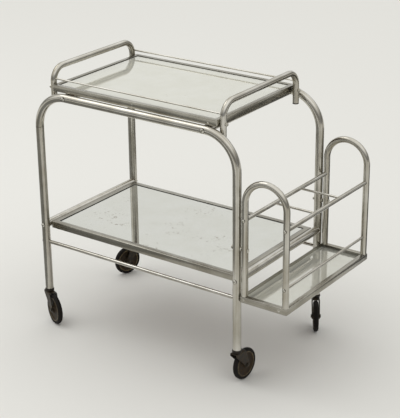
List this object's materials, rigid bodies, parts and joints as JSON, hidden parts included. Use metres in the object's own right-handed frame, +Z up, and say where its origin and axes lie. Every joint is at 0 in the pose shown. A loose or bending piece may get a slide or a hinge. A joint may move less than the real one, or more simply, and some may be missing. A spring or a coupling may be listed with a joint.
{
  "type": "bar cart on wheels",
  "caption": "Bar cart of bent aluminium tube on swivel casters, with a lift-off mirror tray, a mirror shelf and a bottle holder with arched ends.",
  "frame": {"origin": "the centre of the cart's footprint box, on the floor", "axes": "+X from the plain end to the bottle holder, +Y from the near side frame to the far one, +Z up"},
  "size_m": [0.734, 0.399, 0.6709],
  "materials": {
    "aluminium": "polished once, now satin with a warm grey tarnish",
    "mirror": "silvered glass with small age spots",
    "board": "plain brown hardboard",
    "steel": "dull plated steel",
    "cap": "black plastic plug",
    "collar": "blackened pressed steel",
    "fork": "dark brown lacquered steel with worn edges",
    "wheel": "dark brown moulded disc",
    "tyre": "black rubber"
  },
  "bodies": {
    "cart": {"side_frame_near": "aluminium", "side_frame_far": "aluminium", "top_crossbar_left": "aluminium", "top_crossbar_right": "aluminium", "shelf_cross_tube_left": "aluminium", "shelf_cross_tube_right": "aluminium", "low_stretcher_near": "aluminium", "low_stretcher_far": "aluminium", "shelf_frame": "aluminium", "holder_frame": "aluminium", "holder_arch_near": "aluminium", "holder_arch_far": "aluminium", "holder_upper_rail_inner": "aluminium", "holder_upper_rail_outer": "aluminium", "holder_divider_near": "aluminium", "holder_divider_far": "aluminium", "holder_lower_rod": "aluminium", "shelf_mirror": "mirror", "holder_mirror": "mirror", "shelf_backing": "board", "holder_backing": "board", "crossbar_bolt_left": "steel", "crossbar_bolt_right": "steel", "holder_bolt_near": "steel", "holder_bolt_far": "steel", "caster_collar_near_left": "collar", "caster_collar_near_right": "collar", "caster_collar_far_left": "collar", "caster_collar_far_right": "collar"},
    "tray": {"tray_frame": "aluminium", "tray_mirror": "mirror", "tray_backing": "board", "tray_handle_left": "aluminium", "tray_handle_right": "aluminium", "gallery_rod_near": "aluminium", "gallery_rod_far": "aluminium", "handle_cap_near_left": "cap", "handle_cap_near_right": "cap", "handle_cap_far_left": "cap", "handle_cap_far_right": "cap", "tray_bolt_near_left": "steel", "tray_bolt_near_right": "steel", "tray_bolt_far_left": "steel", "tray_bolt_far_right": "steel"},
    "swivel_near_left": {"caster_fork_near_left": "fork", "caster_axle_near_left": "steel"},
    "wheel_near_left": {"caster_wheel_near_left": "wheel", "caster_tyre_near_left": "tyre"},
    "swivel_near_right": {"caster_fork_near_right": "fork", "caster_axle_near_right": "steel"},
    "wheel_near_right": {"caster_wheel_near_right": "wheel", "caster_tyre_near_right": "tyre"},
    "swivel_far_left": {"caster_fork_far_left": "fork", "caster_axle_far_left": "steel"},
    "wheel_far_left": {"caster_wheel_far_left": "wheel", "caster_tyre_far_left": "tyre"},
    "swivel_far_right": {"caster_fork_far_right": "fork", "caster_axle_far_right": "steel"},
    "wheel_far_right": {"caster_wheel_far_right": "wheel", "caster_tyre_far_right": "tyre"}
  },
  "joints": [
    {"name": "tray_lift", "type": "slide", "parent": "cart", "child": "tray", "axis": [0, 0, 1], "range_m": [0, 0.25]},
    {"name": "swivel_near_left", "type": "hinge", "parent": "cart", "child": "swivel_near_left", "pos_m": [-0.34105, -0.16687, 0.0798], "axis": [0, 0, 1], "continuous": true},
    {"name": "spin_near_left", "type": "hinge", "parent": "swivel_near_left", "child": "wheel_near_left", "pos_m": [-0.31578, -0.17892, 0.0385], "axis": [0.4305, 0.9026, 0], "continuous": true},
    {"name": "swivel_near_right", "type": "hinge", "parent": "cart", "child": "swivel_near_right", "pos_m": [0.23095, -0.16687, 0.0798], "axis": [0, 0, 1], "continuous": true},
    {"name": "spin_near_right", "type": "hinge", "parent": "swivel_near_right", "child": "wheel_near_right", "pos_m": [0.23242, -0.13891, 0.0385], "axis": [-0.9986, 0.0523, 0], "continuous": true},
    {"name": "swivel_far_left", "type": "hinge", "parent": "cart", "child": "swivel_far_left", "pos_m": [-0.34105, 0.18313, 0.0798], "axis": [0, 0, 1], "continuous": true},
    {"name": "spin_far_left", "type": "hinge", "parent": "swivel_far_left", "child": "wheel_far_left", "pos_m": [-0.34998, 0.15659, 0.0385], "axis": [0.9478, -0.319, 0], "continuous": true},
    {"name": "swivel_far_right", "type": "hinge", "parent": "cart", "child": "swivel_far_right", "pos_m": [0.23095, 0.18313, 0.0798], "axis": [0, 0, 1], "continuous": true},
    {"name": "spin_far_right", "type": "hinge", "parent": "swivel_far_right", "child": "wheel_far_right", "pos_m": [0.2464, 0.15978, 0.0385], "axis": [0.8339, 0.5519, 0], "continuous": true}
  ]
}
